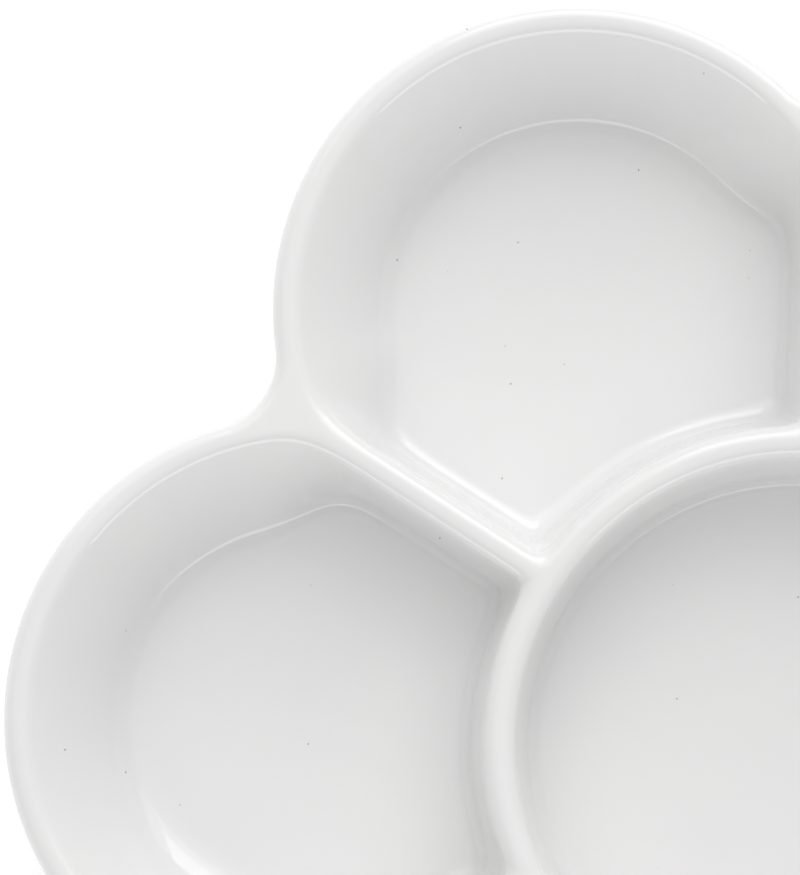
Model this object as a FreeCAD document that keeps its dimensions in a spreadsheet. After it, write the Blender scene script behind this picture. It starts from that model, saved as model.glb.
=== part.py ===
import FreeCAD, Part
import Sketcher
import math
import os

# A flower-shaped mixing palette of glazed porcelain: six petal wells round one round well.
# The clay body stands on a bare foot ring. Two coats of glaze cover the rest of it: one over the
# wells, the rim and the outer wall, and one over the underside, inside the foot ring.
# Millimetres, +Z up. The origin is on the table, under the middle of the centre well.

OUTPUT_FOLDER = "parts"
PETALS = 6
PETAL_STEP = 360.0 / PETALS
HALF_STEP = PETAL_STEP / 2.0

# Driving dimensions. Slopes are in degrees from the horizontal.
SIZES = [
    ("petal_pitch", 56.0, "from the middle of the palette to the middle of a petal"),
    ("petal_reach", 35.0, "outer radius of a petal"),
    ("notch_radius", 8.0, "hollow curve of the outline between two petals"),
    ("lip_radius", 1.8, "roundness of the rim and of the ridges between the wells"),
    ("rim_slope", 51.0, "slope of the outer wall, inside and out"),
    ("ridge_slope", 81.0, "slope of the walls between the wells"),
    ("ring_radius", 34.5, "crest of the ring round the centre well"),
    ("well_depth", 13.0, "from the rim down to the floor of a well"),
    ("floor_thickness", 4.5, "thickness under the floor of a well"),
    ("floor_shift", 2.7, "how far a petal well's floor lies towards the middle"),
    ("floor_reach", 24.0, "radius of a petal well's floor at the rim side"),
    ("rim_corner", 7.0, "corner of a petal well where the ridge meets the rim"),
    ("ring_corner", 3.0, "corner of a petal well where the ridge meets the ring"),
    ("well_fillet", 3.0, "fillet round the floor of a well"),
    ("crest_flat", 0.1, "taken off the crest roundings, so that a narrow flat is left"),
    ("base_rounding", 3.0, "rounding where the outer wall turns under"),
    ("foot_height", 2.5, "height of the foot ring"),
    ("foot_reach", 19.0, "outer radius of a petal of the foot ring"),
    ("foot_width", 4.5, "width of the foot ring"),
    ("foot_rounding", 0.8, "rounding of the foot ring's lower edges"),
    ("coat", 0.3, "thickness of the glaze"),
    ("glaze_line", 1.0, "height on the foot ring where the glaze stops"),
]

doc = FreeCAD.newDocument("MixingPalette")


def make_sheet():
    """Write the driving dimensions into the spreadsheet, one named cell each."""
    sheet = doc.addObject("Spreadsheet::Sheet", "Sizes")
    for row, (alias, number, meaning) in enumerate(SIZES, start=1):
        sheet.set("A%d" % row, alias)
        sheet.set("B%d" % row, str(number))
        sheet.set("C%d" % row, meaning)
        sheet.setAlias("B%d" % row, alias)
    doc.recompute()
    return sheet


sizes = make_sheet()


def number(expression):
    """The value of an expression over the spreadsheet's cells."""
    value = sizes.evalExpression(expression.replace("Sizes.", ""))
    return float(getattr(value, "Value", value))


# ---------------------------------------------------------------------------------------------
# Expressions that several sub-parts share. `inset` is how far a surface lies under the glaze:
# "0" for the glazed form, and the coat's thickness for the bare clay.

PITCH = "Sizes.petal_pitch"
LIP_CENTRE = "(Sizes.petal_reach - Sizes.lip_radius)"
RIM_TOP = "(Sizes.foot_height + Sizes.floor_thickness + Sizes.well_depth)"
FLOOR_TOP = "(Sizes.foot_height + Sizes.floor_thickness)"
WALL_TAPER = "(90 - Sizes.rim_slope)"
NOTCH_SUM = "(Sizes.petal_reach + Sizes.notch_radius)"


def lip(inset):
    return "(Sizes.lip_radius - %s)" % inset


def ridge_half_top(inset):
    """Half the width of a ridge at its top, before its edges are rounded."""
    return "(%s * tan(Sizes.ridge_slope / 2))" % lip(inset)


def ridge_half_foot(inset, depth):
    """Half the width of a ridge where its walls reach a depth below its top."""
    return "(%s + %s / tan(Sizes.ridge_slope))" % (ridge_half_top(inset), depth)


def outer_edge_radius(inset):
    """Radius of a petal's sharp outer edge, before it is rounded into the lip."""
    return "(%s + %s / tan(Sizes.rim_slope / 2))" % (LIP_CENTRE, lip(inset))


def inner_edge_radius(inset):
    """Radius of a petal well's sharp upper edge, before it is rounded into the lip."""
    return "(%s - %s * tan(Sizes.rim_slope / 2))" % (LIP_CENTRE, lip(inset))


# ---------------------------------------------------------------------------------------------
# Sketch helpers


def origin_plane(body, role):
    """The body's own origin plane or axis with this role."""
    for feature in body.Origin.OriginFeatures:
        if feature.Role == role:
            return feature
    raise ValueError("no origin feature " + role)


def new_sketch(body, name, plane, height="0"):
    """An empty sketch on one of the body's origin planes, lifted by an expression."""
    sketch = body.newObject("Sketcher::SketchObject", name)
    sketch.AttachmentSupport = (origin_plane(body, plane), [""])
    sketch.MapMode = "FlatFace"
    sketch.setExpression(".AttachmentOffset.Base.z", height)
    return sketch


def constrain(sketch, kind, *where, expression):
    """Add a dimension to the sketch and bind it to an expression."""
    index = sketch.addConstraint(Sketcher.Constraint(kind, *where, number(expression)))
    sketch.setExpression("Constraints[%d]" % index, expression)


def join_tangent(sketch, first, first_end, second, second_end):
    """Make two curves meet smoothly at their ends."""
    sketch.addConstraint(Sketcher.Constraint("Tangent", first, first_end, second, second_end))


def arc(centre, radius, start, end):
    circle = Part.Circle(FreeCAD.Vector(centre[0], centre[1], 0), FreeCAD.Vector(0, 0, 1), radius)
    return Part.ArcOfCircle(circle, start, end)


def direction(start, end):
    return math.atan2(end[1] - start[1], end[0] - start[0])


def polar(radius, degrees):
    angle = math.radians(degrees)
    return (radius * math.cos(angle), radius * math.sin(angle))


START, END, CENTRE = 1, 2, 3
ORIGIN_POINT = (-1, 1)
X_AXIS = -1


def add_flower(sketch, petal_radius, notch_radius):
    """Draw a flower outline: a petal arc and a hollow notch arc, six times, all tangent."""
    pitch = number(PITCH)
    petal = number(petal_radius)
    notch = number(notch_radius)
    half_chord = pitch * math.sin(math.radians(HALF_STEP))
    notch_distance = pitch * math.cos(math.radians(HALF_STEP))
    notch_distance += math.sqrt((petal + notch) ** 2 - half_chord ** 2)
    centres = [polar(pitch, k * PETAL_STEP) for k in range(PETALS)]
    hollows = [polar(notch_distance, (k + 0.5) * PETAL_STEP) for k in range(PETALS)]
    petals = []
    notches = []
    for k in range(PETALS):
        before = direction(centres[k], hollows[k - 1])
        after = direction(centres[k], hollows[k])
        while after < before:
            after += 2 * math.pi
        petals.append(sketch.addGeometry(arc(centres[k], petal, before, after), False))
        begin = direction(hollows[k], centres[(k + 1) % PETALS])
        finish = direction(hollows[k], centres[k])
        while finish < begin:
            finish += 2 * math.pi
        notches.append(sketch.addGeometry(arc(hollows[k], notch, begin, finish), False))
    for k in range(PETALS):
        spoke_line = Part.LineSegment(FreeCAD.Vector(0, 0, 0), FreeCAD.Vector(*centres[k], 0))
        spoke = sketch.addGeometry(spoke_line, True)
        sketch.addConstraint(Sketcher.Constraint("Coincident", spoke, START, *ORIGIN_POINT))
        sketch.addConstraint(Sketcher.Constraint("Coincident", spoke, END, petals[k], CENTRE))
        constrain(sketch, "Distance", spoke, expression=PITCH)
        turn = math.radians((k * PETAL_STEP + 180.0) % 360.0 - 180.0)
        sketch.addConstraint(Sketcher.Constraint("Angle", spoke, turn))
        join_tangent(sketch, petals[k], END, notches[k], END)
        join_tangent(sketch, notches[k], START, petals[(k + 1) % PETALS], START)
        constrain(sketch, "Radius", petals[k], expression=petal_radius)
        constrain(sketch, "Radius", notches[k], expression=notch_radius)


def add_petal_well(sketch, centre, reach, ridge_half, ring, rim_corner, ring_corner):
    """Draw a petal well's outline: rim arc, two ridges, ring arc, and a rounded corner at each."""
    c, big, h, r = number(centre), number(reach), number(ridge_half), number(ring)
    rim_round, ring_round = number(rim_corner), number(ring_corner)
    lean = math.radians(HALF_STEP)
    along = (math.cos(lean), math.sin(lean))
    normal = (-math.sin(lean), math.cos(lean))

    def place(distance, offset):
        return (distance * along[0] - offset * normal[0], distance * along[1] - offset * normal[1])

    level = h + rim_round
    run = c * along[0] + math.sqrt((big - rim_round) ** 2 - (c * along[1] - level) ** 2)
    rim_centre = place(run, level)
    rim_foot = place(run, h)
    level = h + ring_round
    run = math.sqrt((r + ring_round) ** 2 - level ** 2)
    ring_centre = place(run, level)
    ring_foot = place(run, h)
    rim_turn = direction((c, 0), rim_centre)
    ring_turn = direction((0, 0), ring_centre)
    to_ridge = math.radians(90 + HALF_STEP)
    full = 2 * math.pi

    def mirrored(point):
        return FreeCAD.Vector(point[0], -point[1], 0)

    rim = sketch.addGeometry(arc((c, 0), big, -rim_turn, rim_turn), False)
    rim_up = sketch.addGeometry(arc(rim_centre, rim_round, rim_turn, to_ridge), False)
    ridge_up = sketch.addGeometry(
        Part.LineSegment(FreeCAD.Vector(*rim_foot, 0), FreeCAD.Vector(*ring_foot, 0)), False)
    ring_up = sketch.addGeometry(arc(ring_centre, ring_round, to_ridge, math.pi + ring_turn), False)
    ring_arc = sketch.addGeometry(arc((0, 0), r, -ring_turn, ring_turn), False)
    ring_down = sketch.addGeometry(
        arc(mirrored(ring_centre), ring_round, math.pi - ring_turn, full - to_ridge), False)
    ridge_down = sketch.addGeometry(
        Part.LineSegment(mirrored(ring_foot), mirrored(rim_foot)), False)
    rim_down = sketch.addGeometry(
        arc(mirrored(rim_centre), rim_round, full - to_ridge, full - rim_turn), False)

    join_tangent(sketch, rim, END, rim_up, START)
    join_tangent(sketch, rim_up, END, ridge_up, START)
    join_tangent(sketch, ridge_up, END, ring_up, START)
    join_tangent(sketch, ring_up, END, ring_arc, END)
    join_tangent(sketch, ring_arc, START, ring_down, START)
    join_tangent(sketch, ring_down, END, ridge_down, START)
    join_tangent(sketch, ridge_down, END, rim_down, START)
    join_tangent(sketch, rim_down, END, rim, START)
    sketch.addConstraint(Sketcher.Constraint("PointOnObject", rim, CENTRE, X_AXIS))
    constrain(sketch, "DistanceX", *ORIGIN_POINT, rim, CENTRE, expression=centre)
    constrain(sketch, "Radius", rim, expression=reach)
    sketch.addConstraint(Sketcher.Constraint("Coincident", ring_arc, CENTRE, *ORIGIN_POINT))
    constrain(sketch, "Radius", ring_arc, expression=ring)
    for ridge in (ridge_up, ridge_down):
        constrain(sketch, "Distance", *ORIGIN_POINT, ridge, expression=ridge_half)
    sketch.addConstraint(Sketcher.Constraint("Angle", ridge_up, lean - math.pi))
    sketch.addConstraint(Sketcher.Constraint("Angle", ridge_down, -lean))
    for corner in (rim_up, rim_down):
        constrain(sketch, "Radius", corner, expression=rim_corner)
    for corner in (ring_up, ring_down):
        constrain(sketch, "Radius", corner, expression=ring_corner)


def add_circle(sketch, radius):
    """Draw a circle round the origin."""
    circle = Part.Circle(FreeCAD.Vector(0, 0, 0), FreeCAD.Vector(0, 0, 1), number(radius))
    index = sketch.addGeometry(circle, False)
    sketch.addConstraint(Sketcher.Constraint("Coincident", index, CENTRE, *ORIGIN_POINT))
    constrain(sketch, "Radius", index, expression=radius)


# ---------------------------------------------------------------------------------------------
# Feature helpers


def pad_down(body, name, sketch, length, taper=None):
    """Pad a sketch downwards, narrowing by a taper if one is given."""
    pad = body.newObject("PartDesign::Pad", name)
    pad.Profile = sketch
    pad.Reversed = True
    pad.setExpression("Length", length)
    if taper:
        pad.setExpression("TaperAngle", "-1 * %s" % taper)
    doc.recompute()
    return pad


def check_smaller(body, before, what):
    """Stop if a cut has taken nothing away."""
    doc.recompute()
    if not body.Shape.Volume < before - 1.0:
        raise RuntimeError(what + " cuts nothing")


def sink_well(body, name, top_sketch, floor_sketch, count):
    """Cut a well between its outline at the top and at its floor, and repeat it round the middle."""
    before = body.Shape.Volume
    loft = body.newObject("PartDesign::SubtractiveLoft", name)
    loft.Profile = top_sketch
    loft.Sections = [floor_sketch]
    loft.Ruled = True
    check_smaller(body, before, name)
    if count > 1:
        before = body.Shape.Volume
        pattern = body.newObject("PartDesign::PolarPattern", name + "s")
        pattern.Originals = [loft]
        pattern.Axis = (origin_plane(body, "Z_Axis"), [""])
        pattern.Angle = 360.0
        pattern.Occurrences = count
        body.Tip = pattern
        check_smaller(body, before, name + " pattern")


def round_edges(body, name, radius, wanted):
    """Fillet every edge of the body's last shape that `wanted` picks."""
    base = body.Tip
    edges = []
    for index, edge in enumerate(base.Shape.Edges, start=1):
        if wanted(edge):
            edges.append("Edge%d" % index)
    fillet = body.newObject("PartDesign::Fillet", name)
    fillet.Base = (base, edges)
    fillet.setExpression("Radius", radius)
    doc.recompute()
    return fillet


def lies_at(height, inner=0.0, outer=1000.0):
    """A test for edges that lie flat at a height, with their middle between two radii."""
    def test(edge):
        box = edge.BoundBox
        if abs(box.ZMin - height) > 0.001 or abs(box.ZMax - height) > 0.001:
            return False
        middle = edge.valueAt((edge.FirstParameter + edge.LastParameter) / 2.0)
        return inner <= math.hypot(middle.x, middle.y) <= outer
    return test


# ---------------------------------------------------------------------------------------------
# The dish: the same form is made twice, at the glaze's surface and at the clay's


def add_foot_ring(body, name, inset, foot_bottom):
    """Pad the flower-shaped foot ring down from the underside to a height above the table."""
    foot = new_sketch(body, name + "Foot", "XY_Plane", "(Sizes.foot_height + %s)" % inset)
    reach = "(Sizes.foot_reach - %s)" % inset
    add_flower(foot, reach, "(%s - %s)" % (NOTCH_SUM, reach))
    inner = "(Sizes.foot_reach - Sizes.foot_width + %s)" % inset
    add_flower(foot, inner, "(%s - %s)" % (NOTCH_SUM, inner))
    pad_down(body, name + "FootRing", foot, "Sizes.foot_height + %s - %s" % (inset, foot_bottom))


def make_dish(name, inset, foot_bottom):
    """The whole dish, with every surface moved inwards by `inset`."""
    body = doc.addObject("PartDesign::Body", name)
    top = "(%s - %s)" % (RIM_TOP, inset)
    floor = "(%s - %s)" % (FLOOR_TOP, inset)
    edge_radius = outer_edge_radius(inset)

    outline = new_sketch(body, name + "Outline", "XY_Plane", top)
    add_flower(outline, edge_radius, "(%s - %s)" % (NOTCH_SUM, edge_radius))
    wall_height = "(Sizes.floor_thickness + Sizes.well_depth - 2 * %s)" % inset
    pad_down(body, name + "Wall", outline, wall_height, WALL_TAPER)

    well_top = new_sketch(body, name + "PetalWellTop", "XY_Plane", top)
    half_top = ridge_half_top(inset)
    ring_top = "(Sizes.ring_radius + %s)" % half_top
    add_petal_well(well_top, PITCH, inner_edge_radius(inset), half_top, ring_top,
                   "(Sizes.rim_corner + %s)" % inset, "(Sizes.ring_corner + %s)" % inset)
    well_floor = new_sketch(body, name + "PetalWellFloor", "XY_Plane", floor)
    half_foot = ridge_half_foot(inset, "Sizes.well_depth")
    ring_foot = "(Sizes.ring_radius + %s)" % half_foot
    add_petal_well(well_floor, "(Sizes.petal_pitch - Sizes.floor_shift)",
                   "(Sizes.floor_reach + %s * tan(Sizes.rim_slope / 2))" % inset,
                   half_foot, ring_foot,
                   "(Sizes.rim_corner + %s)" % inset, "(Sizes.ring_corner + %s)" % inset)
    doc.recompute()
    sink_well(body, name + "PetalWell", well_top, well_floor, PETALS)

    centre_top = new_sketch(body, name + "CentreWellTop", "XY_Plane", top)
    add_circle(centre_top, "(Sizes.ring_radius - %s)" % half_top)
    centre_floor = new_sketch(body, name + "CentreWellFloor", "XY_Plane", floor)
    add_circle(centre_floor, "(Sizes.ring_radius - %s)" % half_foot)
    sink_well(body, name + "CentreWell", centre_top, centre_floor, 1)

    round_edges(body, name + "FloorFillet", "Sizes.well_fillet + %s" % inset, lies_at(number(floor)))
    round_edges(body, name + "Crests", "%s - Sizes.crest_flat" % lip(inset), lies_at(number(top)))
    base = "(Sizes.foot_height + %s)" % inset
    round_edges(body, name + "Base", "Sizes.base_rounding", lies_at(number(base)))
    add_foot_ring(body, name, inset, foot_bottom)
    return body


def make_zone(name):
    """A block over the underside within the foot ring: it tells the two coats apart."""
    zone = doc.addObject("PartDesign::Body", name)
    sketch = new_sketch(zone, name + "Outline", "XY_Plane", "(Sizes.foot_height + Sizes.coat)")
    reach = "(Sizes.foot_reach - Sizes.foot_width / 2)"
    add_flower(sketch, reach, "(%s - %s)" % (NOTCH_SUM, reach))
    pad_down(zone, name + "Block", sketch, "Sizes.foot_height + Sizes.coat")
    return zone


def combine(kind, name, base, tool):
    """A boolean of two shapes, as an object of the document."""
    result = doc.addObject(kind, name)
    result.Base = base
    result.Tool = tool
    return result


def check(items):
    """Stop at the first failed object, or at a sub-part whose shape is missing or broken."""
    for item in doc.Objects:
        if "Invalid" in item.State or "Error" in item.State:
            raise RuntimeError("%s failed: %s" % (item.Name, item.State))
    for item in items:
        if item.Shape.isNull() or not item.Shape.isValid():
            raise RuntimeError("bad shape in " + item.Label)


def main():
    form = make_dish("GlazedForm", "0", "Sizes.glaze_line")
    clay = make_dish("PorcelainBody", "Sizes.coat", "0")
    round_edges(clay, "FootEdges", "Sizes.foot_rounding", lies_at(0.0))
    coats = combine("Part::Cut", "Coats", form, clay)
    zone = make_zone("UndersideZone")
    upper = combine("Part::Cut", "UpperGlaze", coats, zone)
    under = combine("Part::Common", "UndersideGlaze", coats, zone)
    clay.Label = "porcelain_body"
    upper.Label = "upper_glaze"
    under.Label = "underside_glaze"
    doc.recompute()
    nodes = [clay, upper, under]
    check(nodes)
    os.makedirs(OUTPUT_FOLDER, exist_ok=True)
    for node in nodes:
        box = node.Shape.BoundBox
        print("%-16s solids %d volume %.1f z %.2f..%.2f" % (
            node.Label, len(node.Shape.Solids), node.Shape.Volume, box.ZMin, box.ZMax))
        node.Shape.exportStep("%s/%s.step" % (OUTPUT_FOLDER, node.Label))


main()
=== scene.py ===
import logging
import math
from dataclasses import dataclass, fields, replace
from enum import Enum
from typing import Callable, ClassVar, Union

import bpy
from mathutils import Matrix, Vector


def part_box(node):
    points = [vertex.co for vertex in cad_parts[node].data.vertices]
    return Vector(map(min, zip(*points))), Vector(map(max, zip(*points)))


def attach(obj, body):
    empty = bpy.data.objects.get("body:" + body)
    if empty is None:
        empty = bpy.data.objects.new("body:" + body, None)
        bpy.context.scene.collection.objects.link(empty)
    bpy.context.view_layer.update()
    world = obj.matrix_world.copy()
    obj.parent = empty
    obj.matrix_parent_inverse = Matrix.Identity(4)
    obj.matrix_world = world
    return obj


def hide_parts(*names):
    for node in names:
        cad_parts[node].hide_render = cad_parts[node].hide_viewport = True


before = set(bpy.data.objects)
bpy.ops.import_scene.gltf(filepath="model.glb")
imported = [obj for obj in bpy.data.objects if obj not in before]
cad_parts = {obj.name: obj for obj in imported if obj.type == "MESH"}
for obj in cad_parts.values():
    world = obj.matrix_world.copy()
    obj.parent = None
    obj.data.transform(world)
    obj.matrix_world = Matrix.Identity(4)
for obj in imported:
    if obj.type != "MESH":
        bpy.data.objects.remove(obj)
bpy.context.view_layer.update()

# A flower-shaped mixing palette of white glazed porcelain, on a pale floor.
#
# The palette is one fired body with six petal wells round a centre well. Its shape follows a
# rule: every wall has one section, set back from a crest line, and the crest lines are the rims,
# the straight ridges between the petals and the ring. A Geometry Nodes tree works the rule out
# for half a petal, mirrors it and repeats it round the middle. Lengths are metres.

LOG = logging.getLogger("palette")
BODY = "root"
PETALS = 6
HALF_STEP = math.pi / PETALS
QUARTER_TURN = math.pi / 2.0


def mm(length: float) -> float:
    """Metres for a length in millimetres."""
    return length * 0.001


class Slot(Enum):
    """The record's material slots."""

    GLAZE = "white_glaze"
    CLAY = "bare_porcelain"


class Node(Enum):
    """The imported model's nodes."""

    CLAY_BODY = "porcelain_body"
    UPPER_GLAZE = "upper_glaze"
    UNDERSIDE_GLAZE = "underside_glaze"


# --------------------------------------------------------------------------------------------
# Arithmetic inside a Geometry Nodes tree


class Field:
    """A number that a node tree works out, written with ordinary operators."""

    def __init__(self, tree: bpy.types.NodeTree, source: object) -> None:
        """Wrap an output socket or a plain number.

        Args:
            tree: The tree that the nodes go into.
            source: An output socket, or a float.
        """
        self.tree = tree
        self.source = source

    def math(self, operation: str, *others: "Number") -> "Field":
        """Add a Math node.

        Args:
            operation: The node's operation.
            others: The operands after this one.

        Returns:
            The node's result.
        """
        node = self.tree.nodes.new("ShaderNodeMath")
        node.operation = operation
        for socket, operand in zip(node.inputs, (self, *others)):
            plug(self.tree, socket, operand)
        return Field(self.tree, node.outputs[0])

    def __add__(self, other: "Number") -> "Field":
        """This number plus another."""
        return self.math("ADD", other)

    def __radd__(self, other: float) -> "Field":
        """A plain number plus this one."""
        return self.math("ADD", other)

    def __sub__(self, other: "Number") -> "Field":
        """This number less another."""
        return self.math("SUBTRACT", other)

    def __rsub__(self, other: float) -> "Field":
        """A plain number less this one."""
        return Field(self.tree, other).math("SUBTRACT", self)

    def __mul__(self, other: "Number") -> "Field":
        """This number times another."""
        return self.math("MULTIPLY", other)

    def __rmul__(self, other: float) -> "Field":
        """A plain number times this one."""
        return self.math("MULTIPLY", other)

    def __truediv__(self, other: "Number") -> "Field":
        """This number over another."""
        return self.math("DIVIDE", other)

    def sin(self) -> "Field":
        """Sine of an angle."""
        return self.math("SINE")

    def cos(self) -> "Field":
        """Cosine of an angle."""
        return self.math("COSINE")

    def tan(self) -> "Field":
        """Tangent of an angle."""
        return self.math("TANGENT")

    def root(self) -> "Field":
        """Square root, and 0 for a negative number."""
        return self.at_least(0.0).math("SQRT")

    def at_least(self, other: "Number") -> "Field":
        """The larger of two numbers."""
        return self.math("MAXIMUM", other)

    def at_most(self, other: "Number") -> "Field":
        """The smaller of two numbers."""
        return self.math("MINIMUM", other)

    def clamped(self) -> "Field":
        """Keep this number between 0 and 1.

        Returns:
            The number, or whichever of 0 and 1 is nearer.
        """
        node = self.tree.nodes.new("ShaderNodeClamp")
        plug(self.tree, node.inputs["Value"], self)
        return Field(self.tree, node.outputs[0])

    def eased(self) -> "Field":
        """An S-curve from 0 to 1."""
        share = self.clamped()
        return share * share * (3.0 - 2.0 * share)

    def mixed(self, other: "Number", share: "Number") -> "Field":
        """Go a share of the way to another number.

        Args:
            other: The number at the end of the way.
            share: 0 for this number and 1 for the other.

        Returns:
            The number in between.
        """
        node = self.tree.nodes.new("ShaderNodeMix")
        node.clamp_factor = False
        for socket, operand in zip(node.inputs[0:1] + node.inputs[2:4], (share, self, other)):
            plug(self.tree, socket, operand)
        return Field(self.tree, node.outputs[0])

    def bearing(self, run: "Number") -> "Field":
        """The angle with this rise over a run."""
        return self.math("ARCTAN2", run)

    def blended(self, other: "Number", reach: "Number") -> "Field":
        """The smaller of two numbers, softened where they are within a reach of each other."""
        return self.math("SMOOTH_MIN", other, reach)


Number = Union[Field, float]


def plug(tree: bpy.types.NodeTree, socket: bpy.types.NodeSocket, operand: object) -> None:
    """Feed a socket with a field, an output socket or a plain value.

    Args:
        tree: The tree that holds the socket.
        socket: The input socket.
        operand: What goes into it.
    """
    source = operand.source if isinstance(operand, Field) else operand
    if isinstance(source, bpy.types.NodeSocket):
        tree.links.new(source, socket)
    else:
        socket.default_value = source


@dataclass(frozen=True)
class Spot:
    """A point in plan."""

    x: Field
    y: Field

    def out(self, bearing: Field, distance: Number) -> "Spot":
        """The point at a distance on a bearing from this one."""
        return Spot(self.x + bearing.cos() * distance, self.y + bearing.sin() * distance)

    def mixed(self, other: "Spot", share: Number) -> "Spot":
        """The point a share of the way to another."""
        return Spot(self.x.mixed(other.x, share), self.y.mixed(other.y, share))


Place = tuple[Spot, Field]
Placer = Callable[[Field, Field], Place]


# --------------------------------------------------------------------------------------------
# Sizes


@dataclass(frozen=True)
class PaletteSizes:
    """The palette's measures, in metres and radians, as its surface tree takes them."""

    INSET: ClassVar[float] = mm(0.1)
    """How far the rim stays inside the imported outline."""

    pitch: float
    petal_reach: float
    rim_height: float
    underside_height: float
    foot_inner_reach: float
    glaze_line: float
    coat: float
    notch_radius: float = mm(8.0)
    lip_radius: float = mm(1.8)
    rim_slope: float = math.radians(51.0)
    ridge_slope: float = math.radians(81.0)
    ring_radius: float = mm(34.5)
    well_depth: float = mm(13.0)
    rim_fillet: float = mm(7.0)
    ridge_fillet: float = mm(2.5)
    slope_change_from: float = math.radians(70.0)
    slope_change_to: float = math.radians(115.0)
    rim_corner: float = mm(8.0)
    ring_corner: float = mm(8.0)
    floor_dish: float = mm(0.2)
    base_rounding: float = mm(3.0)
    foot_reach: float = mm(19.0)
    foot_fillet: float = mm(0.6)
    foot_rounding: float = mm(0.8)

    @classmethod
    def from_frame(cls) -> "PaletteSizes":
        """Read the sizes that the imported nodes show.

        Returns:
            Sizes whose outline, height, foot and coat match the nodes' boxes.
        """
        glaze_low, glaze_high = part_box(Node.UPPER_GLAZE.value)
        under_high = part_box(Node.UNDERSIDE_GLAZE.value)[1]
        clay_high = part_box(Node.CLAY_BODY.value)[1]
        tilt = math.cos(HALF_STEP)
        pitch = round((glaze_high.x - glaze_high.y) / (1.0 - tilt), 4)
        coat = round(glaze_high.z - clay_high.z, 5)
        return cls(
            pitch=pitch,
            petal_reach=round(glaze_high.x - pitch - cls.INSET, 4),
            rim_height=round(glaze_high.z, 5),
            underside_height=round(under_high.z - coat, 5),
            foot_inner_reach=round(under_high.x - pitch - coat, 4),
            glaze_line=round(glaze_low.z, 5),
            coat=coat,
        )


@dataclass(frozen=True)
class Fineness:
    """How many steps each stretch of the surface is divided into."""

    rim: int = 34
    saddle: int = 12
    ridge: int = 30
    ring: int = 20
    lip: int = 8
    wall: int = 4
    fillet: int = 9
    floor: int = 8
    flat: int = 4
    outside: int = 4
    underside: int = 4

    def well_rows(self) -> int:
        """Steps from a well's crest to the middle of its floor."""
        return self.lip + self.wall + self.fillet + self.floor

    def coarse(self) -> "Fineness":
        """The same outline with fewer steps down the walls, for a skin that is out of sight."""
        return replace(self, lip=4, wall=1, fillet=4, floor=2, flat=1, outside=1, underside=1)


# --------------------------------------------------------------------------------------------
# The surface tree


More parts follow.
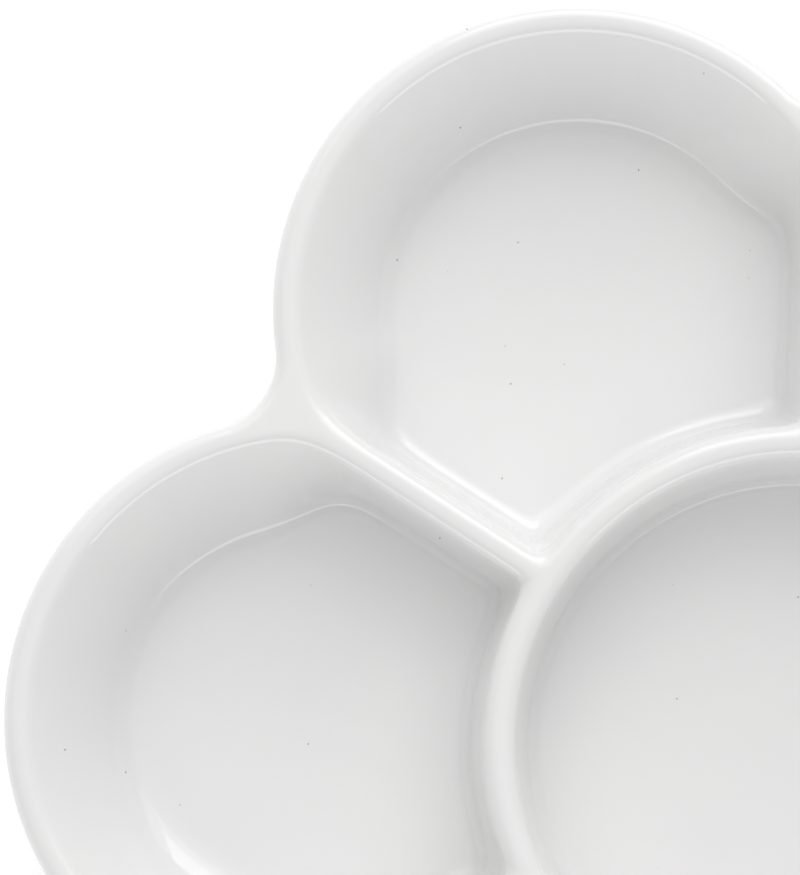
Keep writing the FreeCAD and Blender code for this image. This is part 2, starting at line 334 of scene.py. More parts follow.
class SurfaceTree:
    """A Geometry Nodes tree for one of the palette's closed pieces."""

    MERGE = mm(0.004)

    def __init__(self, name: str, sizes: PaletteSizes) -> None:
        """Make an empty tree with one named input for each size.

        Args:
            name: The tree's name.
            sizes: The sizes, which name the inputs.
        """
        self.sizes = sizes
        self.tree = bpy.data.node_groups.new(name, "GeometryNodeTree")
        self.tree.is_modifier = True
        self.tree.interface.new_socket("Surface", in_out="OUTPUT", socket_type="NodeSocketGeometry")
        self.sockets = {}
        for size in fields(sizes):
            label = size.name.replace("_", " ").capitalize()
            self.sockets[size.name] = self.tree.interface.new_socket(
                label, in_out="INPUT", socket_type="NodeSocketFloat")
        self.entry = self.tree.nodes.new("NodeGroupInput")
        self.index = Field(self.tree, self.tree.nodes.new("GeometryNodeInputIndex").outputs[0])
        self.parts: list[bpy.types.NodeSocket] = []

    def size(self, name: str) -> Field:
        """The tree's input for a size."""
        order = [size.name for size in fields(self.sizes)]
        return Field(self.tree, self.entry.outputs[order.index(name)])

    def add(self, kind: str, **inputs: object) -> bpy.types.Node:
        """Add a node and feed its inputs by name.

        Args:
            kind: The node's type.
            inputs: Operands by socket name, with underscores for spaces.

        Returns:
            The node.
        """
        node = self.tree.nodes.new(kind)
        for name, operand in inputs.items():
            plug(self.tree, node.inputs[name.replace("_", " ")], operand)
        return node

    def patch(self, columns: int, rows: int, place: Placer, flipped: bool) -> None:
        """Lay a grid over part of the surface.

        Args:
            columns: Steps along the crest line.
            rows: Steps across it.
            place: Gives the plan point and height for a column's share and a row's number.
            flipped: True to turn the faces over.
        """
        grid = self.add("GeometryNodeMeshGrid", Vertices_X=columns + 1, Vertices_Y=rows + 1)
        column = ((self.index + 0.5) / float(rows + 1)).math("FLOOR")
        spot, height = place(column / float(columns), self.grid_row(rows))
        vector = self.add("ShaderNodeCombineXYZ", X=spot.x, Y=spot.y, Z=height)
        placed = self.add("GeometryNodeSetPosition", Geometry=grid.outputs["Mesh"],
                          Position=vector.outputs[0])
        result = placed.outputs[0]
        if flipped:
            result = self.add("GeometryNodeFlipFaces", Mesh=result).outputs[0]
        self.parts.append(result)

    def grid_row(self, rows: int) -> Field:
        """The row's number at each point of a grid, from 0 to its number of rows."""
        return self.index.math("MODULO", float(rows + 1)).math("ROUND")

    def join(self, parts: list[bpy.types.NodeSocket]) -> bpy.types.NodeSocket:
        """Join pieces of geometry into one.

        Args:
            parts: The pieces.

        Returns:
            All of them together.
        """
        node = self.tree.nodes.new("GeometryNodeJoinGeometry")
        for part in parts:
            self.tree.links.new(part, node.inputs[0])
        return node.outputs[0]

    def close(self, material: bpy.types.Material) -> None:
        """Mirror the half petal, repeat it round the middle and dress it.

        Args:
            material: The piece's material.
        """
        half = self.join(self.parts)
        turned = self.add("GeometryNodeTransform", Geometry=half, Scale=(1.0, -1.0, 1.0))
        other = self.add("GeometryNodeFlipFaces", Mesh=turned.outputs[0]).outputs[0]
        petal = self.join([half, other])
        points = self.add("GeometryNodePoints", Count=PETALS)
        turn = self.add("ShaderNodeCombineXYZ", Z=self.index * (2.0 * HALF_STEP))
        placed = self.add("GeometryNodeInstanceOnPoints", Points=points.outputs[0],
                          Instance=petal, Rotation=turn.outputs[0])
        real = self.add("GeometryNodeRealizeInstances", Geometry=placed.outputs[0])
        whole = self.add("GeometryNodeMergeByDistance", Geometry=real.outputs[0],
                         Distance=self.MERGE)
        smooth = self.add("GeometryNodeSetShadeSmooth", Geometry=whole.outputs[0])
        dressed = self.add("GeometryNodeSetMaterial", Geometry=smooth.outputs[0],
                           Material=material)
        leave = self.tree.nodes.new("NodeGroupOutput")
        self.tree.links.new(dressed.outputs[0], leave.inputs[0])

    def mesh(self, name: str) -> bpy.types.Object:
        """Work the tree out into a plain mesh.

        Args:
            name: The finished piece's name.

        Returns:
            An object at the origin that holds the mesh.
        """
        host = bpy.data.objects.new(name + "_host", bpy.data.meshes.new(name + "_host"))
        bpy.context.scene.collection.objects.link(host)
        modifier = host.modifiers.new("Surface", "NODES")
        modifier.node_group = self.tree
        for size in fields(self.sizes):
            modifier[self.sockets[size.name].identifier] = getattr(self.sizes, size.name)
        graph = bpy.context.evaluated_depsgraph_get()
        mesh = bpy.data.meshes.new_from_object(host.evaluated_get(graph), depsgraph=graph)
        host.modifiers.remove(modifier)
        bpy.data.objects.remove(host)
        mesh.name = name
        piece = bpy.data.objects.new(name, mesh)
        bpy.context.scene.collection.objects.link(piece)
        return piece


class WallSection:
    """The section of a well's wall: a rounded lip, a straight slope and a fillet."""

    def __init__(self, skin: "Skin", slope: Field, fillet: Field) -> None:
        """Work out where the lip ends and the fillet starts.

        Args:
            skin: The skin that the wall belongs to.
            slope: The wall's slope.
            fillet: Radius of the fillet at the well's floor.
        """
        self.skin = skin
        self.slope = slope
        self.fillet = fillet
        self.slope_cos = slope.cos()
        self.slope_tan = slope.tan()
        self.lip_drop = skin.lip * (1.0 - self.slope_cos)
        self.fillet_drop = fillet * (1.0 - self.slope_cos)
        self.fillet_run = fillet * slope.sin()

    def setback(self, drop: Field) -> Field:
        """How far the wall stands back from its crest line.

        Args:
            drop: Depth below the crest.

        Returns:
            The distance, square to the crest line.
        """
        skin = self.skin
        over_lip = drop.at_most(self.lip_drop)
        lip = (over_lip * (skin.lip * 2.0 - over_lip)).root()
        down_wall = drop.at_most(skin.well_depth - self.fillet_drop) - self.lip_drop
        left = (skin.well_depth - drop).at_most(self.fillet_drop)
        rounding = self.fillet_run - (left * (self.fillet * 2.0 - left)).root()
        return lip + down_wall.at_least(0.0) / self.slope_tan + rounding.at_least(0.0)


class Skin:
    """One skin of the palette, at a depth under the glaze's surface.

    A skin is laid in half a petal: the petal's middle line lies along +X, and the straight ridge
    to the next petal lies along a line at 30 degrees. Angles round the petal's middle start from
    +X, which points outwards.
    """

    TO_RIDGE = HALF_STEP + QUARTER_TURN
    GRAZING = 0.05

    def __init__(self, surface: SurfaceTree, depth: Number, steps: Fineness,
                 inner: bool = False) -> None:
        """Work out the plan's fixed points.

        Args:
            surface: The tree that takes the patches.
            depth: How far this skin lies under the glaze's surface.
            steps: How finely it is divided.
            inner: True for the hidden side of a coat, whose faces look the other way.
        """
        self.surface = surface
        self.depth = depth
        self.steps = steps
        self.inner = inner
        size = surface.size
        self.zero = Field(surface.tree, 0.0)
        self.step_cos, self.step_sin = math.cos(HALF_STEP), math.sin(HALF_STEP)
        self.pitch = size("pitch")
        self.middle = Spot(self.zero, self.zero)
        self.petal = Spot(self.pitch, self.zero)
        self.rise = self.pitch * self.step_sin
        self.lip = size("lip_radius") - depth
        self.top = size("rim_height") - depth
        self.crest = size("petal_reach") - size("lip_radius")
        self.notch_crest = size("notch_radius") + size("lip_radius")
        self.ring = size("ring_radius")
        reach = self.crest + self.notch_crest
        along = self.pitch * self.step_cos + (reach * reach - self.rise * self.rise).root()
        self.notch = Spot(along * self.step_cos, along * self.step_sin)
        self.notch_from = self.notch.y.bearing(self.notch.x - self.pitch)
        junction = self.pitch * self.step_cos + (self.crest * self.crest
                                              - self.rise * self.rise).root()
        self.junction_at = (junction * self.step_sin).bearing(junction * self.step_cos - self.pitch)
        self.ring_at = (self.ring * self.step_sin).bearing(self.ring * self.step_cos - self.pitch)
        self.well_depth = size("well_depth")
        self.steep = WallSection(self, size("ridge_slope"), size("ridge_fillet") + depth)
        self.slanting = WallSection(self, size("rim_slope"), size("rim_fillet") + depth)

    def drop(self, row: Field) -> Field:
        """Space the rows down a well's wall, close together on the lip and the fillet.

        Args:
            row: The row's number, 0 on the crest.

        Returns:
            The row's depth below the crest.
        """
        steep = self.steep
        steps = self.steps
        lip_turn = steep.slope * (row / float(steps.lip)).clamped()
        down_wall = ((row - float(steps.lip)) / float(steps.wall)).clamped()
        round_fillet = ((row - float(steps.lip + steps.wall)) / float(steps.fillet)).clamped()
        lip_drop = self.lip * (1.0 - lip_turn.cos())
        wall_drop = self.well_depth - steep.lip_drop - steep.fillet_drop
        left_turn = steep.slope * (1.0 - round_fillet)
        fillet_drop = steep.fillet * (left_turn.cos() - steep.slope_cos)
        return lip_drop + wall_drop * down_wall + fillet_drop

    def floor_share(self, row: Field) -> Field:
        """1 down to the edge of the floor, and then less and less, to 0 at its middle."""
        first = self.steps.lip + self.steps.wall + self.steps.fillet
        return 1.0 - ((row - float(first)) / float(self.steps.floor)).clamped()

    def well_height(self, drop: Field, share: Field) -> Field:
        """The height of a well's surface.

        Args:
            drop: Depth below the crest.
            share: The floor's share, 1 at its edge and 0 at its middle.

        Returns:
            The height, with the floor dished slightly.
        """
        hollow = 1.0 - share * share
        return self.top - drop - self.surface.size("floor_dish") * hollow * hollow

    def well_reach(self, bearing: Field, drop: Field) -> Field:
        """How far a petal well's wall is from the petal's middle.

        Args:
            bearing: Angle round the petal's middle.
            drop: Depth below the crest.

        Returns:
            The distance: the smallest of those to the rim, the ridge and the ring, softened
            in the corners between them.
        """
        size = self.surface.size
        steep = self.steep.setback(drop)
        change = ((bearing - size("slope_change_from"))
                  / (size("slope_change_to") - size("slope_change_from"))).eased()
        rim = self.crest - self.slanting.setback(drop).mixed(steep, change)
        off_ridge = (bearing - self.TO_RIDGE).cos().at_least(self.GRAZING)
        ridge = (self.rise - steep) / off_ridge
        softness = (steep / self.steep.setback(self.well_depth)).root()
        return rim.blended(ridge, size("rim_corner") * softness).blended(
            self.ring_reach(bearing, steep), size("ring_corner") * softness)

    def ring_reach(self, bearing: Field, setback: Number) -> Field:
        """How far the ring's wall is from the petal's middle.

        Args:
            bearing: Angle round the petal's middle.
            setback: How far the wall stands out from the ring's crest.

        Returns:
            The distance, and a large one where the bearing misses the ring.
        """
        off_axis = (math.pi - bearing).at_most(QUARTER_TURN)
        radius = self.ring + setback
        offset = self.pitch * off_axis.sin()
        clear = radius * radius - offset * offset
        return self.pitch * off_axis.cos() - clear.root() + (0.0 - clear).root() * 2.0

    # The patches of the wells

    def petal_well(self) -> None:
        """Lay the petal well's wall and floor, in four runs along its crest."""
        steps = self.steps
        runs = [(self.zero, self.notch_from, steps.rim),
                (self.notch_from, self.junction_at, steps.saddle),
                (self.junction_at, self.ring_at, steps.ridge),
                (self.ring_at, self.zero + math.pi, steps.ring)]
        columns = sum(count for _, _, count in runs)

        def place(column: Field, row: Field) -> Place:
            """Place a point of the petal well.

            Args:
                column: Share of the way along the crest.
                row: The row's number.

            Returns:
                The point in plan and its height.
            """
            bearing = self.zero
            before = 0
            for start, end, count in runs:
                along = ((column * float(columns) - float(before)) / float(count)).clamped()
                bearing = bearing + (end - start) * along
                before += count
            drop, share = self.drop(row), self.floor_share(row)
            reach = self.well_reach(bearing, drop) * share
            return self.petal.out(bearing, reach), self.well_height(drop, share)

        self.surface.patch(columns, steps.well_rows(), place, self.inner)

    def centre_well(self) -> None:
        """Lay the centre well inside the ring."""
        steps = self.steps

        def place(column: Field, row: Field) -> Place:
            """Place a point of the centre well.

            Args:
                column: Share of the way along the crest.
                row: The row's number.

            Returns:
                The point in plan and its height.
            """
            bearing = self.ring_at.mixed(math.pi, column)
            on_crest = self.petal.out(bearing, self.ring_reach(bearing, 0.0))
            round_middle = on_crest.y.bearing(on_crest.x)
            drop, share = self.drop(row), self.floor_share(row)
            reach = (self.ring - self.steep.setback(drop)) * share
            return self.middle.out(round_middle, reach), self.well_height(drop, share)

        self.surface.patch(steps.ring, steps.well_rows(), place, not self.inner)

    def saddle(self) -> None:
        """Lay the flat between the petal's crest and the notch, where three crests meet."""
        rows = self.steps.flat

        def place(column: Field, row: Field) -> Place:
            """Place a point of the flat.

            Args:
                column: Share of the way along the crest.
                row: The row's number.

            Returns:
                The point in plan and its height.
            """
            on_petal = self.petal.out(self.notch_from.mixed(self.junction_at, column), self.crest)
            on_notch = self.notch_spot(column, self.zero)
            return on_petal.mixed(on_notch, row / float(rows)), self.top + 0.0

        self.surface.patch(self.steps.saddle, rows, place, not self.inner)

    def notch_spot(self, column: Field, out: Field) -> Spot:
        """Find a point along the notch.

        Args:
            column: Share of the way along it, up to the line between two petals.
            out: Distance outwards from its crest.

        Returns:
            The point.
        """
        start = self.notch_from + math.pi
        end = HALF_STEP + math.pi
        return self.notch.out(start.mixed(end, column), self.notch_crest - out)

    def petal_spot(self, column: Field, out: Field) -> Spot:
        """A point along the petal's outer side, at a distance outwards from its crest."""
        return self.petal.out(self.notch_from * column, self.crest + out)

    # The outside, from the crest down and in under the palette

    def outside(self) -> "Sweep":
        """Start a sweep with the lip, the outer wall, the turn under it and the underside.

        Returns:
            The sweep, down to the fillet beside the foot ring.
        """
        size = self.surface.size
        steps = self.steps
        facing = math.pi - size("rim_slope")
        out, down = facing.sin(), facing.cos()
        lip_z = size("rim_height") - size("lip_radius")
        rounding = size("base_rounding") - self.depth
        base_z = size("underside_height") + size("base_rounding")
        base_x = (self.lip - rounding + down * (lip_z - base_z)) / out
        sweep = Sweep(self, self.zero, self.top)
        sweep.arc(steps.lip + 1, self.lip, 0.0, facing)
        sweep.line(steps.outside, base_x + out * (rounding - self.lip),
                   base_z - lip_z + down * (rounding - self.lip))
        sweep.arc(steps.outside + 1, rounding, facing, math.pi)
        sweep.line(steps.underside, self.foot_side() + size("foot_fillet") - base_x, 0.0)
        sweep.arc(steps.underside, size("foot_fillet") + self.depth, 0.0, -QUARTER_TURN)
        return sweep

    def foot_side(self) -> Field:
        """The foot ring's outer side under the glaze, as a distance outwards from the crest."""
        return self.surface.size("foot_reach") - self.crest

    def foot_inside(self) -> Field:
        """The foot ring's inner side under the glaze, as a distance outwards from the crest."""
        return self.surface.size("foot_inner_reach") - self.crest

    def foot_wall(self, bottom: Number) -> Field:
        """The drop from the hollow at the top of the foot ring to a height."""
        size = self.surface.size
        return size("underside_height") - size("foot_fillet") - bottom

    def foot_base(self, sweep: "Sweep") -> None:
        """Add the bare foot to a sweep: its rounded edges and the flat that it stands on.

        Args:
            sweep: The sweep, which has come down the foot ring's outer side.
        """
        radius = self.surface.size("foot_rounding")
        width = self.foot_inside() - self.foot_side() + (self.depth + radius) * 2.0
        steps = self.steps.underside
        sweep.arc(steps, radius, QUARTER_TURN, math.pi)
        sweep.line(steps, width, 0.0)
        sweep.arc(steps, radius, math.pi, math.pi + QUARTER_TURN)

    def foot_inner_wall(self, sweep: "Sweep", bottom: Number) -> None:
        """Add the foot ring's inner side to a sweep, and its fillet.

        Args:
            sweep: The sweep.
            bottom: The height that the side goes up from.
        """
        sweep.line(1, 0.0, self.foot_wall(bottom))
        sweep.arc(self.steps.underside, self.surface.size("foot_fillet") + self.depth,
                  QUARTER_TURN, 0.0)

    def underside_middle(self) -> None:
        """Lay the underside inside the foot ring, in to the palette's middle."""
        size = self.surface.size
        height = size("underside_height") + self.depth
        edge = self.foot_inside() - size("foot_fillet")
        sides = ((self.steps.rim, self.petal_spot), (self.steps.saddle, self.notch_spot))
        rows = self.steps.floor
        for columns, spot in sides:
            def place(column: Field, row: Field,
                      spot: Callable[[Field, Field], Spot] = spot) -> Place:
                """Place a point of the underside."""
                return spot(column, edge).mixed(self.middle, row / float(rows)), height

            self.surface.patch(columns, rows, place, not self.inner)

    def wells(self) -> None:
        """Lay the wells and the flats between them."""
        self.petal_well()
        self.centre_well()
        self.saddle()


class Sweep:
    """A section swept round the outside of the palette, made of arcs and straight lines."""

    def __init__(self, skin: Skin, out: Field, height: Field) -> None:
        """Start a section.

        Args:
            skin: The skin that it belongs to.
            out: Its first point's distance outwards from the crest.
            height: Its first point's height.
        """
        self.skin = skin
        self.start = (out, height)
        self.moves: list[tuple[int, Callable[[Field], tuple[Number, Number]]]] = []

    def line(self, rows: int, out: Number, up: Number) -> None:
        """Add a straight line.

        Args:
            rows: Steps along it.
            out: How far it runs outwards.
            up: How far it rises.
        """
        self.moves.append((rows, lambda share: (share * out, share * up)))

    def arc(self, rows: int, radius: Number, start: Number, end: Number) -> None:
        """Add an arc.

        Args:
            rows: Steps along it.
            radius: Its radius.
            start: Angle at its start, from straight up, turning outwards.
            end: Angle at its end.
        """
        first = self.skin.zero + start

        def move(share: Field) -> tuple[Number, Number]:
            """How far the arc has run outwards and risen."""
            turn = first.mixed(end, share)
            return (turn.sin() - first.sin()) * radius, (turn.cos() - first.cos()) * radius

        self.moves.append((rows, move))

    def lay(self) -> None:
        """Lay the swept surface round the petal and the notch."""
        skin = self.skin
        rows = sum(count for count, _ in self.moves)
        sides = ((skin.steps.rim, skin.petal_spot), (skin.steps.saddle, skin.notch_spot))
        row = skin.surface.grid_row(rows)
        out, height = self.start
        before = 0
        for count, move in self.moves:
            run, rise = move(((row - float(before)) / float(count)).clamped())
            out, height = out + run, height + rise
            before += count
        for columns, spot in sides:
            def place(column: Field, row: Field,
                      spot: Callable[[Field, Field], Spot] = spot) -> Place:
                """Place a point of the swept surface."""
                return spot(column, out), height

            skin.surface.patch(columns, rows, place, not skin.inner)


# --------------------------------------------------------------------------------------------
# Finishes


class Shader:
    """Builds the nodes of one material."""

    def __init__(self, name: str) -> None:
        """Make a material with its Principled BSDF.

        Args:
            name: The material's name.
        """
        self.material = bpy.data.materials.new(name)
        self.material.use_nodes = True
        self.tree = self.material.node_tree
        self.tree.nodes.clear()
        self.bsdf = self.tree.nodes.new("ShaderNodeBsdfPrincipled")
        output = self.tree.nodes.new("ShaderNodeOutputMaterial")
        self.tree.links.new(self.bsdf.outputs[0], output.inputs["Surface"])
        self.place = self.tree.nodes.new("ShaderNodeTexCoord").outputs["Object"]

    def add(self, kind: str, **inputs: object) -> bpy.types.Node:
        """Add a node and feed its inputs by name.

        Args:
            kind: The node's type.
            inputs: Values or output sockets by socket name, with underscores for spaces.

        Returns:
            The node.
        """
        node = self.tree.nodes.new(kind)
        for name, value in inputs.items():
            plug(self.tree, node.inputs[name.replace("_", " ")], value)
        return node

    def noise(self, size: float, detail: float = 3.0,
              roughness: float = 0.5) -> bpy.types.NodeSocket:
        """Noise on Object coordinates.

        Args:
            size: Width of its features, in metres.
            detail: Octaves.
            roughness: How strong the finer octaves are.

        Returns:
            The noise, about 0.5 on average.
        """
        node = self.add("ShaderNodeTexNoise", Vector=self.place, Scale=1.0 / size,
                        Detail=detail, Roughness=roughness)
        return node.outputs["Fac"]

    def ramp(self, value: bpy.types.NodeSocket, low: float, high: float, to_low: float,
             to_high: float) -> bpy.types.NodeSocket:
        """Map a range of a value to another range, and clamp it.

        Args:
            value: The value.
            low: Its range's lower end.
            high: Its range's upper end.
            to_low: What the lower end becomes.
            to_high: What the upper end becomes.

        Returns:
            The mapped value.
        """
        node = self.add("ShaderNodeMapRange", Value=value, From_Min=low, From_Max=high,
                        To_Min=to_low, To_Max=to_high)
        return node.outputs[0]

    def mix(self, share: bpy.types.NodeSocket, first: object,
            second: object) -> bpy.types.NodeSocket:
        """Mix two colours.

        Args:
            share: 0 for the first and 1 for the second.
            first: An RGB tuple or a colour socket.
            second: Another one.

        Returns:
            The mixed colour.
        """
        node = self.tree.nodes.new("ShaderNodeMix")
        node.data_type = "RGBA"
        plug(self.tree, node.inputs[0], share)
        for socket, colour in ((node.inputs[6], first), (node.inputs[7], second)):
            plug(self.tree, socket, (*colour, 1.0) if isinstance(colour, tuple) else colour)
        return node.outputs[2]

    def bump(self, height: bpy.types.NodeSocket, distance: float, strength: float,
             onto: bpy.types.NodeSocket = None) -> bpy.types.NodeSocket:
        """Add a bump.

        Args:
            height: Its pattern, from 0 to 1.
            distance: Height of its full relief, in metres.
            strength: How much of it shows.
            onto: A bump that it goes on top of, if any.

        Returns:
            The bumped normal.
        """
        node = self.add("ShaderNodeBump", Height=height, Distance=distance, Strength=strength)
        if onto is not None:
            self.tree.links.new(onto, node.inputs["Normal"])
        return node.outputs[0]

    def feed(self, **inputs: object) -> None:
        """Feed the Principled BSDF's inputs by name."""
        for name, value in inputs.items():
            plug(self.tree, self.bsdf.inputs[name.replace("_", " ")], value)


@dataclass(frozen=True)
class WhiteGlaze:
    """Clear gloss glaze over white porcelain, with a faint waviness and a few pinholes."""

    body: tuple[float, float, float] = (0.83, 0.83, 0.826)
    pooled: tuple[float, float, float] = (0.808, 0.81, 0.811)
    pinhole: tuple[float, float, float] = (0.36, 0.34, 0.32)
    gloss: float = 0.03
    index: float = 1.6
    tint_size: float = mm(30.0)
    smear_size: float = mm(12.0)
    wave_size: float = mm(22.0)
    wave_height: float = mm(0.05)
    ripple_size: float = mm(2.6)
    ripple_height: float = mm(0.002)
    pinhole_spacing: float = mm(7.0)
    pinhole_radius: float = mm(0.12)
    pinhole_depth: float = mm(0.05)
    pinhole_chance: tuple[float, float] = (0.78, 0.90)

    def material(self) -> bpy.types.Material:
        """Build the glaze.

        Returns:
            The material.
        """
        shader = Shader("white_glaze")
        tint = shader.ramp(shader.noise(self.tint_size, detail=4.0), 0.35, 0.65, 0.0, 1.0)
        colour = shader.mix(tint, self.body, self.pooled)
        holes = self.pinholes(shader)
        shader.feed(Base_Color=shader.mix(holes, colour, self.pinhole))
        smears = shader.ramp(shader.noise(self.smear_size, detail=5.0), 0.3, 0.7,
                             self.gloss * 0.75, self.gloss * 1.35)
        shader.feed(Roughness=smears, IOR=self.index)
        wave = shader.bump(shader.noise(self.wave_size, detail=1.0), self.wave_height, 1.0)
        ripple = shader.bump(shader.noise(self.ripple_size, detail=2.0), self.ripple_height, 1.0,
                             wave)
        pits = shader.bump(shader.ramp(holes, 0.0, 1.0, 1.0, 0.0), self.pinhole_depth, 0.6,
                           ripple)
        shader.feed(Normal=pits)
        return shader.material

    def pinholes(self, shader: Shader) -> bpy.types.NodeSocket:
        """Scatter sparse pinholes.

        Args:
            shader: The glaze's shader.

        Returns:
            1 in a pinhole and 0 elsewhere.
        """
        cells = shader.add("ShaderNodeTexVoronoi", Vector=shader.place,
                           Scale=1.0 / self.pinhole_spacing)
        cells.voronoi_dimensions = "2D"
        radius = self.pinhole_radius / self.pinhole_spacing
        dot = shader.ramp(cells.outputs["Distance"], radius * 0.55, radius, 1.0, 0.0)
        chance = shader.add("ShaderNodeSeparateColor", Color=cells.outputs["Color"])
        picked = shader.ramp(chance.outputs[0], *self.pinhole_chance, 0.0, 1.0)
        return (Field(shader.tree, dot) * Field(shader.tree, picked)).source


@dataclass(frozen=True)
class BarePorcelain:
    """Fired clay without glaze: matt, very slightly warm, with specks and a fine tooth."""

    body: tuple[float, float, float] = (0.80, 0.775, 0.735)
    shade: tuple[float, float, float] = (0.72, 0.69, 0.645)
    speck: tuple[float, float, float] = (0.45, 0.40, 0.34)
    patch_size: float = mm(7.0)
    speck_size: float = mm(0.6)
    tooth_size: float = mm(0.25)
    tooth_height: float = mm(0.03)

    def material(self) -> bpy.types.Material:
        """Build the bare clay.

        Returns:
            The material.
        """
        shader = Shader("bare_porcelain")
        patchy = shader.noise(self.patch_size, detail=5.0, roughness=0.6)
        patches = shader.ramp(patchy, 0.35, 0.7, 0.0, 1.0)
        colour = shader.mix(patches, self.body, self.shade)
        specks = shader.ramp(shader.noise(self.speck_size, detail=2.0), 0.70, 0.76, 0.0, 0.6)
        shader.feed(Base_Color=shader.mix(specks, colour, self.speck))
        grain = shader.noise(self.tooth_size, detail=4.0, roughness=0.65)
        shader.feed(Roughness=shader.ramp(grain, 0.3, 0.7, 0.72, 0.92))
        shader.feed(Normal=shader.bump(grain, self.tooth_height, 0.8))
        return shader.material


@dataclass(frozen=True)
class PaleFloor:
    """The plain pale floor that the palette stands on."""

    colour: tuple[float, float, float] = (0.93, 0.93, 0.93)
    darker: float = 0.985
    patch_size: float = 0.2
    glow: float = 0.22

    def material(self) -> bpy.types.Material:
        """Build the floor's finish.

        Returns:
            The material.
        """
        shader = Shader("pale_floor")
        faint = shader.ramp(shader.noise(self.patch_size, detail=2.0), 0.3, 0.7, 0.0, 1.0)
        darker = tuple(part * self.darker for part in self.colour)
        shader.feed(Base_Color=shader.mix(faint, self.colour, darker), Roughness=0.85,
                    Emission_Color=(1.0, 1.0, 1.0, 1.0), Emission_Strength=self.glow)
        return shader.material


# --------------------------------------------------------------------------------------------
# The palette


@dataclass
class Palette:
    """The fired body and its two coats of glaze."""

    sizes: PaletteSizes
    steps: Fineness = Fineness()

    def upper_glaze(self, finish: bpy.types.Material) -> bpy.types.Object:
        """Build the coat over the wells, the rim and the outer wall.

        Args:
            finish: The glaze.

        Returns:
            A thin closed shell.
        """
        surface = SurfaceTree("Upper glaze", self.sizes)
        line, coat = surface.size("glaze_line"), surface.size("coat")
        outer = Skin(surface, 0.0, self.steps)
        outer.wells()
        sweep = outer.outside()
        sweep.line(1, 0.0, 0.0 - outer.foot_wall(line))
        sweep.line(1, 0.0 - coat, 0.0)
        sweep.lay()
        inner = Skin(surface, coat, self.steps.coarse(), inner=True)
        inner.wells()
        sweep = inner.outside()
        sweep.line(1, 0.0, 0.0 - inner.foot_wall(line))
        sweep.lay()
        surface.close(finish)
        return self.settle(surface.mesh("upper_glaze_coat"), Node.UPPER_GLAZE, Slot.GLAZE)

    def underside_glaze(self, finish: bpy.types.Material) -> bpy.types.Object:
        """Build the coat inside the foot ring.

        Args:
            finish: The glaze.

        Returns:
            A thin closed shell.
        """
        surface = SurfaceTree("Underside glaze", self.sizes)
        line, coat = surface.size("glaze_line"), surface.size("coat")
        outer = Skin(surface, 0.0, self.steps)
        sweep = Sweep(outer, outer.foot_inside() + coat, line)
        sweep.line(1, 0.0 - coat, 0.0)
        outer.foot_inner_wall(sweep, line)
        sweep.lay()
        outer.underside_middle()
        inner = Skin(surface, coat, self.steps.coarse(), inner=True)
        sweep = Sweep(inner, inner.foot_inside() + coat, line)
        inner.foot_inner_wall(sweep, line)
        sweep.lay()
        inner.underside_middle()
        surface.close(finish)
        return self.settle(surface.mesh("underside_glaze_coat"), Node.UNDERSIDE_GLAZE, Slot.GLAZE)

    def clay_body(self, finish: bpy.types.Material) -> bpy.types.Object:
        """Build the clay under the glaze, with its bare foot.

        Args:
            finish: The bare porcelain.

        Returns:
            A closed solid.
        """
        surface = SurfaceTree("Clay body", self.sizes)
        skin = Skin(surface, surface.size("coat"), self.steps)
        skin.wells()
        sweep = skin.outside()
        sweep.line(1, 0.0, 0.0 - skin.foot_wall(surface.size("foot_rounding")))
        skin.foot_base(sweep)
        skin.foot_inner_wall(sweep, surface.size("foot_rounding"))
        sweep.lay()
        skin.underside_middle()
        surface.close(finish)
        return self.settle(surface.mesh("clay_body"), Node.CLAY_BODY, Slot.CLAY)

    def settle(self, piece: bpy.types.Object, node: Node, slot: Slot) -> bpy.types.Object:
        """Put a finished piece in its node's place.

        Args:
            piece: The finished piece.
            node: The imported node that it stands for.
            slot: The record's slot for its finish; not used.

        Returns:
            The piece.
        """
        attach(piece, BODY)
        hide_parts(node.value)
        return piece


# --------------------------------------------------------------------------------------------
# The floor, the light and the camera


@dataclass(frozen=True)
class SoftBox:
    """A rectangular soft light that looks at the palette. Angles are in degrees."""

    name: str
    azimuth: float
    elevation: float
    width: float
    height: float
    watts: float
    distance: float = 2.0

    def light(self, target: Vector) -> bpy.types.Object:
        """Hang the light.

        Args:
            target: The point that it looks at.

        Returns:
            The light's object.
        """
        data = bpy.data.lights.new(self.name, "AREA")
        data.shape = "RECTANGLE"
        data.size, data.size_y = self.width, self.height
        data.energy = self.watts
        lamp = bpy.data.objects.new(self.name, data)
        bpy.context.scene.collection.objects.link(lamp)
        turn, rise = math.radians(self.azimuth), math.radians(self.elevation)
        away = Vector((math.cos(turn) * math.cos(rise), math.sin(turn) * math.cos(rise),
                       math.sin(rise)))
        lamp.location = target + away * self.distance
        lamp.rotation_euler = away.to_track_quat("Z", "Y").to_euler()
        return lamp


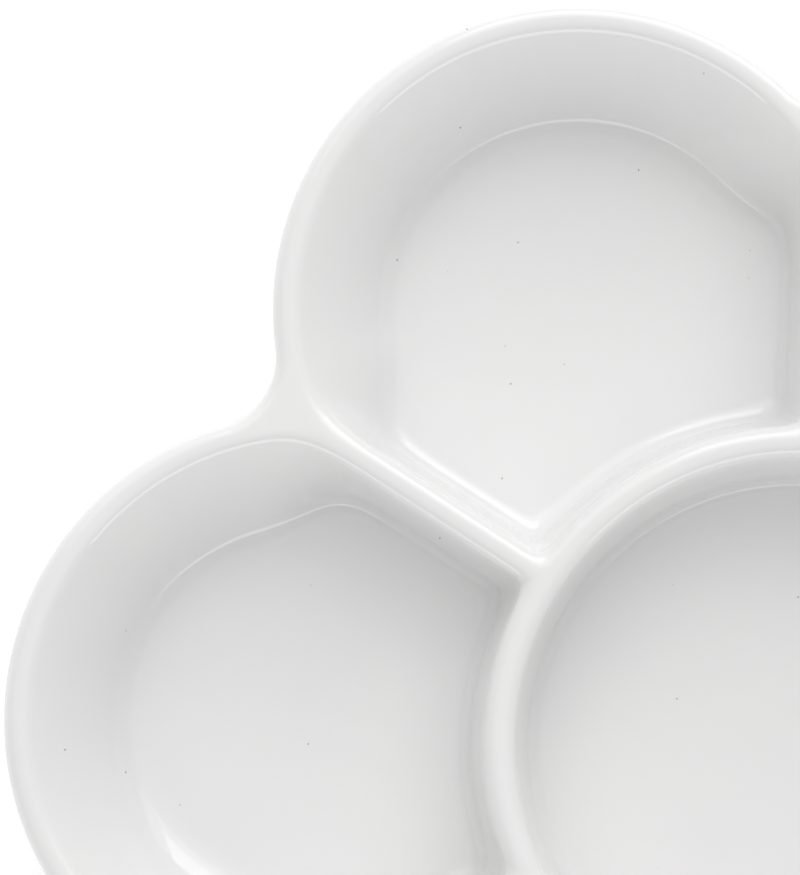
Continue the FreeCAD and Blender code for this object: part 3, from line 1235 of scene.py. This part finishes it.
@dataclass(frozen=True)
class Studio:
    """The pale floor, the soft light and the camera.

    The room gives an even light of its own: so much from the ceiling, from the walls and from
    the strip low on the walls. The heights of its edges are sines of their elevations.
    """

    floor_half: float = 2.5
    ceiling: float = 0.79
    walls: float = 0.46
    skirting: float = 0.68
    skirting_edge: float = 0.28
    skirting_blur: float = 0.10
    ceiling_edge: float = 0.69
    ceiling_blur: float = 0.03
    tint: tuple[float, float, float] = (1.0, 0.999, 0.996)
    camera_place: tuple[float, float, float] = (-0.03367, -0.01556, 0.61180)
    camera_turns: tuple[float, float, float] = (-0.082, -0.019, -0.054)
    lens: float = 214.28
    film: float = 36.0

    def build(self, target: Vector) -> None:
        """Set up the whole studio.

        Args:
            target: The point that the lights look at.
        """
        self.floor()
        self.air()
        for box in self.lights():
            box.light(target)
        self.camera()
        bpy.context.scene.view_settings.view_transform = "Standard"

    def lights(self) -> list[SoftBox]:
        """Choose the studio's soft lights.

        Returns:
            A window with the wall beside it, and a reflector low on the other side.
        """
        return [
            SoftBox("window_light", azimuth=80.0, elevation=32.0, width=2.1, height=1.1,
                    watts=11.5),
            SoftBox("wide_window_light", azimuth=90.0, elevation=42.0, width=4.0, height=1.5,
                    watts=16.0),
            SoftBox("low_reflector", azimuth=275.0, elevation=10.0, width=4.5, height=0.7,
                    watts=17.0),
        ]

    def floor(self) -> None:
        """Lay the floor, as one wide sheet under the palette."""
        half = self.floor_half
        mesh = bpy.data.meshes.new("pale_floor")
        corners = [(-half, -half, 0.0), (half, -half, 0.0), (half, half, 0.0), (-half, half, 0.0)]
        mesh.from_pydata(corners, [], [(0, 1, 2, 3)])
        mesh.materials.append(PaleFloor().material())
        sheet = bpy.data.objects.new("pale_floor", mesh)
        bpy.context.scene.collection.objects.link(sheet)

    def air(self) -> None:
        """Fill the room with its own soft light."""
        world = bpy.data.worlds.new("studio_air")
        world.use_nodes = True
        tree = world.node_tree
        sky = tree.nodes["Background"]
        sky.inputs["Color"].default_value = (*self.tint, 1.0)
        direction = tree.nodes.new("ShaderNodeTexCoord").outputs["Generated"]
        parts = tree.nodes.new("ShaderNodeSeparateXYZ")
        plug(tree, parts.inputs[0], direction)
        rise = Field(tree, parts.outputs["Z"])
        low = ((rise - self.skirting_edge) / self.skirting_blur).eased()
        high = ((rise - self.ceiling_edge) / self.ceiling_blur).eased()
        level = Field(tree, self.skirting).mixed(self.walls, low).mixed(self.ceiling, high)
        plug(tree, sky.inputs["Strength"], level)
        bpy.context.scene.world = world

    def camera(self) -> None:
        """Set the camera over the palette's upper left, looking almost straight down."""
        data = bpy.data.cameras.new("camera")
        data.sensor_width = self.film
        data.lens = self.lens
        data.clip_start, data.clip_end = 0.05, 10.0
        camera = bpy.data.objects.new("camera", data)
        bpy.context.scene.collection.objects.link(camera)
        pitch, roll, spin = self.camera_turns
        view = (Matrix.Rotation(pitch, 3, "X") @ Matrix.Rotation(roll, 3, "Y")
                @ Matrix.Rotation(spin, 3, "Z"))
        camera.matrix_world = Matrix.Translation(self.camera_place) @ view.transposed().to_4x4()
        bpy.context.scene.camera = camera


def main() -> None:
    """Build the palette and its studio."""
    logging.basicConfig(level=logging.INFO, format="%(name)s: %(message)s")
    palette = Palette(PaletteSizes.from_frame())
    glaze, clay = WhiteGlaze().material(), BarePorcelain().material()
    pieces = [palette.upper_glaze(glaze), palette.underside_glaze(glaze), palette.clay_body(clay)]
    for piece in pieces:
        LOG.info("%s: %d faces", piece.name, len(piece.data.polygons))
    Studio().build(Vector((0.0, 0.0, palette.sizes.rim_height)))


if __name__ == "__main__":
    main()
